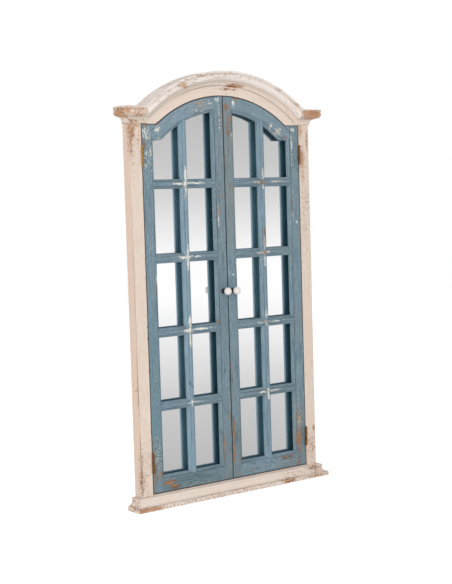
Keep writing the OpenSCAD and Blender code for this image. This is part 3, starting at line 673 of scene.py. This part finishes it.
stile_stains = [
    (*at(-242, -620, 30, 260, 50), tint(96, 134, 148)),
    (*at(16, -80, 30, 300, 40), tint(138, 142, 134)),
    (*at(-16, -160, 20, 200, 30), tint(130, 138, 138)),
    (*at(-16, -420, 20, 160, 45), tint(104, 124, 134)),
    (*at(240, -800, 30, 120, 35), tint(128, 124, 116)),
    (*at(-250, -830, 50, 120, 30), tint(104, 118, 118)),
    (*at(4, -820, 60, 130, 40), tint(112, 122, 120)),
]
stile_stipple = [
    at(-241, -800, 24, 75, 100, deep=10), at(236, -760, 22, 110, 70, deep=10),
    at(-238, -10, 22, 80, 50, deep=10), at(-12, 60, 20, 90, 40, deep=10),
    at(-240, -600, 22, 120, 30, deep=10),
]
painted_wood("blue_upright", "upright", spots=stile_spots, stipple=stile_stipple,
             lines=stile_lines, grooves=quirks, gaps=door_gaps, stains=stile_stains,
             shades=painted_reveal_shading(87, tint(25, 86, 104)), **BLUE)

bar_edges = [z + side * BAR_HALF for z in BARS for side in (-1, 1)]
rail_lines = near("height", (DOOR_FOOT, 1.6, 36), *((z, 1.4, 26) for z in bar_edges))
# Dark lines in the quirks at the foot and along the bars: dirt and painted shade.
rail_quirks = near("height", (DOOR_FOOT + 35.5, 2.2, 100),
                   *((z, 1.7, 80) for z in bar_edges))
rail_stains = [(*at(-140, -872, 150, 30, 60), tint(88, 110, 114)),
               (*at(200, -872, 60, 30, 30), tint(120, 118, 112))]
rail_stipple = [
    at(-150, -881, 50, 9, 60, deep=10), at(-90, -884, 80, 7, 60, deep=10),
    at(140, -872, 100, 14, 30, deep=10),
]
painted_wood("blue_level", "level", spots=rail_spots, lines=rail_lines,
             stipple=rail_stipple, grooves=rail_quirks, gaps=door_gaps,
             stains=rail_stains, shades=painted_reveal_shading(80, tint(42, 92, 110)), **BLUE)

bow_spots = [
    at(-207, 32, 14, 18, 48, 0), at(-203, 8, 16, 7, 46, 0), at(-70, 98, 30, 14, 44, 30),
    at(-44, 99, 12, 10, 46, 0), at(-80, 80, 30, 8, 30, 0), at(45, 112, 14, 6, 0, 56),
    at(36, 100, 8, 16, 60, 0), at(160, 41, 12, 10, 56, 0), at(184, 26, 20, 14, 56, 20),
    at(209, 13, 14, 7, 50, 50),
]
bow_lines = near("radius", (DOOR_ARC, 2, 34), (RAIL_ARC, 1.6, 34))
bow_lines += near("height", (43, 2, 34))
BLUE_BOWS = {**BLUE, "coat": tint(128, 151, 165), "coat_dark": tint(104, 128, 142),
             "coat_light": tint(158, 180, 193)}
painted_wood("blue_arched", "arched", spots=bow_spots, lines=bow_lines,
             stipple=[at(-90, 85, 90, 30, 50, deep=10)],
             grooves=near("radius", (RAIL_ARC, 2.2, 100)),
             gaps=near("radius", (DOOR_ARC, 1.4, 90)),
             shades=painted_reveal_shading(84, tint(28, 68, 82)), **BLUE_BOWS)
print("painted finishes:", len(bpy.data.materials))

# %% [markdown]
# ## Glass, metal, ceramic and board
#
# The mirror is a metal with next to no roughness and a faint haze. The hinges are brass
# that has browned, the ferrules almost black, and the knobs are glazed white ceramic.
# One group of handling marks breaks up the gloss of all of them.

# %% Smooth finishes
SCRATCHES_PER_MARK = 14


def make_handling():
    tree, start = open_group("handling", Vector="Vector", Scale="Float")
    haze = noise(tree, start["Vector"], start["Scale"], 4, 0.6)
    fine = noise(tree, start["Vector"], calc(tree, "MULTIPLY", start["Scale"],
                 SCRATCHES_PER_MARK), 2, 0.5, stretch=(1, 1, 0.06))
    return close_group(tree, Haze=ease(tree, haze, 0.35, 0.75),
                       Scratch=ease(tree, fine, 0.6, 0.7))


handling = make_handling()


def smooth_finish(name, light, dark, rough, rough_spread, scale, metallic=1.0, coat=0.0,
                  scratches=0.3, stains=()):
    """Light and dark are screen colours, and scale is marks per metre."""
    finish, tree, place = open_finish(name)
    times = partial(calc, tree, "MULTIPLY")
    light, dark = tint(*light), tint(*dark)
    marks = use(tree, handling, Vector=place, Scale=scale)
    colour = blend(tree, marks["Haze"], light, dark)
    colour = blend(tree, times(marks["Scratch"], scratches), colour, light)
    for centre, reach, share, stain in stains:
        amount = use(tree, worn_place, Vector=place, Centre=centre, Reach=reach)["Amount"]
        colour = blend(tree, times(amount, share), colour, stain)
    return close_finish(finish, add(tree, "ShaderNodeBsdfPrincipled", {
        "Base Color": colour, "Metallic": metallic, "Coat Weight": coat,
        "Coat Roughness": 0.08,
        "Roughness": calc(tree, "MULTIPLY_ADD", marks["Haze"], rough_spread, rough)}))


smooth_finish("mirror_silver", (248, 248, 248), (245, 245, 246), 0.0, 0.012, 6,
              scratches=0.0)
smooth_finish("aged_brass", (190, 152, 96), (84, 62, 42), 0.36, 0.25, 120,
              stains=[(*at(-257.5, -800, 60, 300, 90, deep=60), tint(112, 74, 44))])
smooth_finish("browned_brass", (150, 106, 60), (62, 44, 32), 0.4, 0.25, 120)
smooth_finish("white_glaze", (247, 241, 237), (236, 226, 219), 0.22, 0.12, 90,
              metallic=0.0, coat=0.6, scratches=0.0)
smooth_finish("dark_ferrule", (70, 62, 56), (38, 33, 30), 0.4, 0.25, 160, metallic=0.8)
smooth_finish("zinc_steel", (186, 188, 190), (140, 142, 146), 0.35, 0.25, 140)
smooth_finish("bright_screw", (214, 208, 190), (168, 160, 140), 0.28, 0.2, 300)
smooth_finish("magnet_nickel", (150, 148, 144), (92, 90, 88), 0.3, 0.2, 160)


def make_hardboard():
    finish, tree, place = open_finish("hardboard")
    fibres = noise(tree, place, 420, 5, 0.7)
    patches = ease(tree, noise(tree, place, 9, 3, 0.5), 0.4, 0.7)
    colour = blend(tree, ease(tree, fibres, 0.35, 0.7), tint(110, 78, 52),
                   tint(158, 120, 86))
    colour = blend(tree, calc(tree, "MULTIPLY", patches, 0.3), colour, tint(128, 96, 68))
    bump = add(tree, "ShaderNodeBump", {"Strength": 0.5, "Distance": 0.0002,
                                        "Height": fibres}).outputs[0]
    return close_finish(finish, add(tree, "ShaderNodeBsdfPrincipled", {
        "Base Color": colour, "Normal": bump, "Roughness": 0.82}))


make_hardboard()
print("finishes in all:", len(bpy.data.materials))

# %% [markdown]
# ## Dressing the wooden pieces
#
# No wooden edge is as sharp as a CAD edge. Each board is copied from its CAD node, its
# loose triangles are joined, flat faces are merged, and a small bevel breaks the edges,
# so that they catch the light. The copy then stands for the node.

# %% Dress the boards
def stand_for(node, kind, mesh, sharp_from, body, slot, finish, edge=0.0):
    """Shades a mesh, softens its edges and lets it stand for the CAD node."""
    mesh.shade_smooth()
    mesh.set_sharp_from_angle(angle=radians(sharp_from))
    mesh.materials.clear()
    mesh.materials.append(bpy.data.materials[finish])
    piece = bpy.data.objects.new(node + "_" + kind, mesh)
    scene.collection.objects.link(piece)
    if edge:
        bevel = piece.modifiers.new("soft_edges", "BEVEL")
        bevel.width = edge
        bevel.segments = 2
        bevel.limit_method = "ANGLE"
        bevel.angle_limit = radians(32)
        bevel.harden_normals = True
    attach(piece, body)
    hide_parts(node)


def dress(node, kind, *place_and_looks):
    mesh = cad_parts[node].data.copy()
    shape = bmesh.new()
    shape.from_mesh(mesh)
    bmesh.ops.remove_doubles(shape, verts=shape.verts, dist=2e-6)
    bmesh.ops.dissolve_limit(shape, angle_limit=radians(0.3), verts=shape.verts,
                             edges=shape.edges)
    shape.to_mesh(mesh)
    shape.free()
    stand_for(node, kind, mesh, 28, *place_and_looks)


FRAME_BOARDS = {
    "cream_upright": "post_left post_right stop_left stop_right",
    "cream_level": "stop_bottom frame_bottom_rail plinth_front cornice_left cornice_right",
    "cream_inward": "plinth_return_left plinth_return_right cornice_return_left "
                    "cornice_return_right",
    "cream_arched": "arch_header stop_arch crown_arch"}
DOOR_BOARDS = {
    "blue_upright": "hinge_stile meeting_stile", "blue_muntin": "muntin",
    "blue_level": "bottom_rail cross_bar_1 cross_bar_2 cross_bar_3 cross_bar_4",
    "blue_arched": "arch_rail"}
for finish, nodes in FRAME_BOARDS.items():
    for node in nodes.split():
        dress(node, "board", "frame", "frame_paint", finish, 0.0006)
for side in ("left", "right"):
    for finish, nodes in DOOR_BOARDS.items():
        for node in nodes.split():
            dress(side + "_" + node, "board", side + "_door", "door_paint", finish, 0.0004)

# %% [markdown]
# ## Glass, panel and fittings
#
# These are made by cutting, stamping and turning, so their edges are finer: a few
# tenths of a millimetre. Glass has a ground seam, stamped sheet a rounded rim, and the
# turned knob none at all, because its profile is already round.

# %% Dress the fittings
FRAME_FITTINGS = {
    "mirror_glass": ("mirror", "mirror_silver", 0.0004),
    "back_panel": ("back_panel", "hardboard", 0.0003),
    "panel_clips": ("steel", "zinc_steel", 0.0002),
    "hanger_plates": ("steel", "zinc_steel", 0.0003),
    "left_frame_hinge_leaves": ("hinge_brass", "aged_brass", 0.0002),
    "right_frame_hinge_leaves": ("hinge_brass", "browned_brass", 0.0002),
    "hinge_pins": ("hinge_brass", "aged_brass", 0.0002),
    "catch_magnets": ("magnet", "magnet_nickel", 0.0002)}
for node, slot_finish_edge in FRAME_FITTINGS.items():
    dress(node, "fitting", "frame", *slot_finish_edge)
for side, metal in (("left", "aged_brass"), ("right", "browned_brass")):
    for node, slot_finish_edge in {
            "upper_hinge_leaf": ("hinge_brass", metal, 0.0002),
            "lower_hinge_leaf": ("hinge_brass", metal, 0.0002),
            "knob": ("knob_ceramic", "white_glaze", 0.0),
            "knob_stem": ("knob_ferrule", "dark_ferrule", 0.0004),
            "strike": ("steel", "zinc_steel", 0.0002)}.items():
        dress(side + "_" + node, "fitting", side + "_door", *slot_finish_edge)

# %% [markdown]
# ## Screws
#
# Thirty-six small wood screws hold the hinges, clips and hangers, and two machine screws
# hold the knobs. They repeat, so one Geometry Nodes tree makes them all. A grid is
# rolled round an axis: its columns become the angle and its rows the depth. Each row's
# radius follows a rule. The first rows are the head, the rest the shank, whose radius
# rises and falls with depth and angle together, and that is a thread. Two crossing bars
# are cut out of the head, each place gets a copy with a turn of its own, and the copies
# are made real before the finish is set.

# %% Geometry Nodes: the screw
ROWS, COLUMNS = 52, 24
ROLL_SEED = 7
WOOD_SCREW = {
    "Head Diameter": 0.00494, "Head Height": 0.001, "Head Slope": 1.0, "Rim": 0.00008,
    "Shank Diameter": 0.0026, "Length": 0.011, "Pitch": 0.0012, "Thread Depth": 0.24,
    "Thread Start": 0.0015, "Tip": 0.003, "Recess Length": 0.0026,
    "Recess Width": 0.0007, "Recess Depth": 0.0008}
HANGER_SCREW = {**WOOD_SCREW, "Head Height": 0.0015, "Length": 0.0115,
                "Recess Depth": 0.0011}
KNOB_SCREW = {
    "Head Diameter": 0.008, "Head Height": 0.002, "Head Slope": 0.0, "Rim": 0.0004,
    "Shank Diameter": 0.004, "Length": 0.0393, "Pitch": 0.0016, "Thread Depth": 0.16,
    "Thread Start": 0.018, "Tip": 0.0008, "Recess Length": 0.0044,
    "Recess Width": 0.0010, "Recess Depth": 0.0013}


def make_screw_tree():
    tree = bpy.data.node_groups.new("screws", "GeometryNodeTree")
    for label, kind in [("Places", "Geometry"), *((label, "Float") for label in WOOD_SCREW),
                        ("Finish", "Material")]:
        tree.interface.new_socket(label, in_out="INPUT", socket_type="NodeSocket" + kind)
    size = tree.nodes.new("NodeGroupInput").outputs
    times, less, more, over = (partial(calc, tree, operation) for operation in (
        "MULTIPLY", "SUBTRACT", "ADD", "DIVIDE"))

    grid = add(tree, "GeometryNodeMeshGrid", {"Size X": 1.0, "Size Y": 1.0,
               "Vertices X": COLUMNS + 1, "Vertices Y": ROWS}).outputs["Mesh"]
    flat = split(tree, add(tree, "GeometryNodeInputPosition").outputs[0])
    round_share = more(flat["X"], 0.5)
    row = calc(tree, "ROUND", times(more(flat["Y"], 0.5), ROWS - 1.0))

    def past(start):
        return less(row, start, clamp=True)

    # depth below the head's face
    head_radius = times(size["Head Diameter"], 0.5)
    shank_radius = times(size["Shank Diameter"], 0.5)
    shank = less(size["Length"], size["Head Height"])
    shank_share = over(less(row, 4.0), ROWS - 5.0, clamp=True)
    depth = more(times(size["Rim"], past(1.0)),
                 times(less(size["Head Height"], size["Rim"]), past(2.0)))
    depth = more(depth, times(shank, shank_share))

    # radius: face, rim, head's flank, then the shank with its thread and tip
    radius = more(times(less(head_radius, size["Rim"]), past(0.0)),
                  times(size["Rim"], past(1.0)))
    fall = more(times(size["Head Slope"], past(2.0)),
                times(less(1.0, size["Head Slope"]), past(3.0)))
    radius = less(radius, times(less(head_radius, shank_radius), fall))
    turn = more(over(depth, size["Pitch"]), round_share)
    wave = calc(tree, "PINGPONG", times(turn, 2.0), 1.0)
    below = less(depth, more(size["Head Height"], size["Thread Start"]))
    threaded = over(below, size["Pitch"], clamp=True)
    groove = times(times(wave, threaded), size["Thread Depth"])
    left = over(less(size["Length"], depth), size["Tip"], clamp=True)
    radius = times(times(radius, less(1.0, groove)), left)

    angle = times(round_share, -2 * pi)
    rolled = join(tree, times(radius, calc(tree, "COSINE", angle)),
                  times(radius, calc(tree, "SINE", angle)), times(depth, -1.0))
    solid = add(tree, "GeometryNodeSetPosition", {"Geometry": grid, "Position": rolled})
    solid = add(tree, "GeometryNodeMergeByDistance", {
        "Geometry": solid.outputs[0], "Distance": 0.00001})

    # the cross recess
    cut = add(tree, "GeometryNodeMeshBoolean", {"Mesh 1": solid.outputs[0]},
              operation="DIFFERENCE", solver="EXACT")
    long, wide, deep = (size["Recess " + word] for word in ("Length", "Width", "Depth"))
    for first, second in ((long, wide), (wide, long)):
        bar = add(tree, "GeometryNodeMeshCube", {
            "Size": join(tree, first, second, times(deep, 2.0))})
        tree.links.new(bar.outputs["Mesh"], cut.inputs["Mesh 2"])

    turns = add(tree, "GeometryNodeInputNamedAttribute", {"Name": "turn"},
                data_type="FLOAT_VECTOR").outputs[0]
    turns = add(tree, "FunctionNodeEulerToRotation", {0: turns}).outputs[0]
    placed = add(tree, "GeometryNodeInstanceOnPoints", {
        "Points": size["Places"], "Instance": cut.outputs["Mesh"], "Rotation": turns})
    chance = add(tree, "FunctionNodeRandomValue", {2: 0.0, 3: 2 * pi, "Seed": ROLL_SEED},
                 data_type="FLOAT")
    roll = add(tree, "FunctionNodeEulerToRotation", {
        0: join(tree, 0.0, 0.0, chance.outputs[1])}).outputs[0]
    rolled_on = add(tree, "GeometryNodeRotateInstances", {
        "Instances": placed.outputs[0], "Rotation": roll, "Local Space": True})
    real = add(tree, "GeometryNodeRealizeInstances", {"Geometry": rolled_on.outputs[0]})
    coated = add(tree, "GeometryNodeSetMaterial", {
        "Geometry": real.outputs[0], "Material": size["Finish"]})
    return close_group(tree, Screws=coated.outputs[0])


screw_tree = make_screw_tree()
print("screw tree:", len(screw_tree.nodes), "nodes")

# %% [markdown]
# A place is a point with a turn, both kept in a small mesh. After the tree has run, its
# result is taken over as a plain mesh, and the modifier goes.

# %% Place the screws
def set_screws(node, body, slot, finish, places, sizes):
    seeds = bpy.data.meshes.new(node + "_places")
    seeds.from_pydata([point for point, _ in places], [], [])
    turns = seeds.attributes.new("turn", "FLOAT_VECTOR", "POINT")
    for index, (_, turned) in enumerate(places):
        turns.data[index].vector = turned
    maker = bpy.data.objects.new(node + "_maker", seeds)
    scene.collection.objects.link(maker)
    modifier = maker.modifiers.new("screws", "NODES")
    modifier.node_group = screw_tree
    for item in screw_tree.interface.items_tree:
        if item.in_out == "INPUT" and item.name in sizes:
            modifier[item.identifier] = sizes[item.name]
        elif item.name == "Finish":
            modifier[item.identifier] = bpy.data.materials[finish]
    graph = bpy.context.evaluated_depsgraph_get()
    mesh = bpy.data.meshes.new_from_object(maker.evaluated_get(graph))
    maker.modifiers.clear()
    bpy.data.objects.remove(maker)
    stand_for(node, "set", mesh, 30, body, slot, finish)
    print(node, len(places), "screws,", len(mesh.polygons), "faces")


HINGE_X, LEAF_GAP, HINGE_SCREW_Y, HINGE_SCREW_STEP = 0.25675, 0.0004, -0.0214, 0.05 / 3
HINGE_HEIGHTS = -0.809, -0.035
INTO_FRAME = (-pi / 2, 0, 0)


def hinge_places(side, into_post):
    """The head faces the hinge's gap, so the post's and the door's screws turn apart."""
    x = side * (HINGE_X + (into_post - 0.5) * LEAF_GAP)
    turned = (0, (-1 if into_post else 1) * side * pi / 2, 0)
    return [((x, HINGE_SCREW_Y, z + step * HINGE_SCREW_STEP), turned)
            for z in HINGE_HEIGHTS for step in (-1, 0, 1)]


clip_points = [(x, 0, z) for x in (-0.271, 0.271) for z in (-0.762, -0.422, -0.082)]
clip_points += [(0, 0, 0.133), (0, 0, -0.9025)]
hanger_points = [(x, 0, z) for x in (-0.27925, 0.27925) for z in (-0.01235, 0.0211)]
set_screws("panel_clip_screws", "frame", "steel", "bright_screw",
           [(point, INTO_FRAME) for point in clip_points], WOOD_SCREW)
set_screws("hanger_screws", "frame", "steel", "bright_screw",
           [(point, INTO_FRAME) for point in hanger_points], HANGER_SCREW)
set_screws("frame_hinge_screws", "frame", "hinge_brass", "aged_brass",
           hinge_places(-1, True) + hinge_places(1, True), WOOD_SCREW)
for name, side in (("left", -1), ("right", 1)):
    set_screws(name + "_hinge_screws", name + "_door", "hinge_brass", "aged_brass",
               hinge_places(side, False), WOOD_SCREW)
    set_screws(name + "_knob_screw", name + "_door", "steel", "bright_screw",
               [((side * 0.0147, -0.011, -0.388), INTO_FRAME)], KNOB_SCREW)

# %% [markdown]
# ## Floor, backdrop and light
#
# The mirror hangs on a white backdrop. The world is white to the camera and in
# reflections, and lights the object a little less strongly. A large soft lamp from the
# front gives the mouldings their shape, and a small one lights the plinth. The floor
# lies well below the plinth.
#
# A mirror shows what stands in front of it: here a bent card that is white at the
# middle height and greyer above and below. Only reflections see it.

# %% World, floor, card and lamps
WHITE = (1, 1, 1, 1)
WORLD_LIGHT = 0.68
FLOOR_Z, FLOOR_REACH, FLOOR_GLOW = -1.6, 12, 0.55
CARD_STEPS, CARD_REACH, CARD_HALF_ANGLE, CARD_GLOW = 32, 2.5, 95, 1.06
CARD_ENDS, CARD_GREY_HEIGHTS = (-3.0, 2.0), (-1.4, 0.2)
CARD_GREYS = [(0.0, 187), (0.2, 205), (0.38, 238), (0.5, 255), (0.6, 255), (0.78, 218),
              (0.88, 203), (1.0, 192)]


def make_world():
    world = bpy.data.worlds.new("studio")
    world.use_nodes = True
    tree = world.node_tree
    tree.nodes.clear()
    path = add(tree, "ShaderNodeLightPath").outputs
    seen = calc(tree, "MAXIMUM", path["Is Camera Ray"], path["Is Glossy Ray"])
    strength = calc(tree, "MULTIPLY_ADD", seen, 1 - WORLD_LIGHT, WORLD_LIGHT)
    light = add(tree, "ShaderNodeBackground", {0: WHITE, 1: strength})
    add(tree, "ShaderNodeOutputWorld", {0: light.outputs[0]})
    scene.world = world


def flat_piece(name, corners, faces, finish):
    mesh = bpy.data.meshes.new(name)
    mesh.from_pydata(corners, [], faces)
    mesh.materials.append(finish)
    piece = bpy.data.objects.new(name, mesh)
    scene.collection.objects.link(piece)
    return piece


def make_floor():
    finish, tree, _ = open_finish("floor_white")
    path = add(tree, "ShaderNodeLightPath").outputs
    shader = add(tree, "ShaderNodeBsdfPrincipled", {"Base Color": (0.85, 0.85, 0.85, 1),
                                                    "Roughness": 0.9})
    glow = add(tree, "ShaderNodeEmission", {0: WHITE, 1: calc(
        tree, "MULTIPLY", path["Is Camera Ray"], FLOOR_GLOW)})
    close_finish(finish, add(tree, "ShaderNodeAddShader", {
        0: shader.outputs[0], 1: glow.outputs[0]}))
    corners = [(x * FLOOR_REACH, y * FLOOR_REACH, FLOOR_Z)
               for x, y in ((-1, -1), (1, -1), (1, 1), (-1, 1))]
    flat_piece("floor", corners, [(0, 1, 2, 3)], finish)


def make_card():
    finish, tree, place = open_finish("reflected_card")
    low, high = CARD_GREY_HEIGHTS
    share = add(tree, "ShaderNodeMapRange", {
        0: split(tree, place)["Z"], 1: low, 2: high}).outputs[0]
    ramp = add(tree, "ShaderNodeValToRGB", {0: share})
    stops = ramp.color_ramp.elements
    while len(stops) < len(CARD_GREYS):
        stops.new(0.5)
    for stop, (position, grey) in zip(stops, CARD_GREYS):
        stop.position = position
        stop.color = tint(grey, grey, grey)
    close_finish(finish, add(tree, "ShaderNodeEmission", {
        0: ramp.outputs[0], 1: CARD_GLOW}))
    angles = [radians(CARD_HALF_ANGLE * (2 * i / CARD_STEPS - 1))
              for i in range(CARD_STEPS + 1)]
    corners = [(CARD_REACH * sin(a), -CARD_REACH * cos(a), z)
               for z in CARD_ENDS for a in angles]
    row = len(angles)
    faces = [(i, i + 1, i + row + 1, i + row) for i in range(CARD_STEPS)]
    card = flat_piece("reflected_card", corners, faces, finish)
    card.visible_camera = False
    card.visible_diffuse = False
    card.visible_shadow = False
    card.visible_transmission = False


def make_lamp(name, place, aim, size, power):
    data = bpy.data.lights.new(name, "AREA")
    data.size = size
    data.energy = power
    lamp = bpy.data.objects.new(name, data)
    scene.collection.objects.link(lamp)
    lamp.location = place
    lamp.rotation_euler = (Vector(aim) - Vector(place)).to_track_quat("-Z", "Y").to_euler()


make_world()
make_floor()
make_card()
make_lamp("front_lamp", (-2.2, -2.5, 0.8), (0, 0, -0.35), 1.6, 35)
make_lamp("low_lamp", (-2.6, -1.5, -1.5), (-0.2, 0, -0.85), 1.0, 15)
scene.view_settings.view_transform = "Standard"
print("lamps:", len(bpy.data.lights))
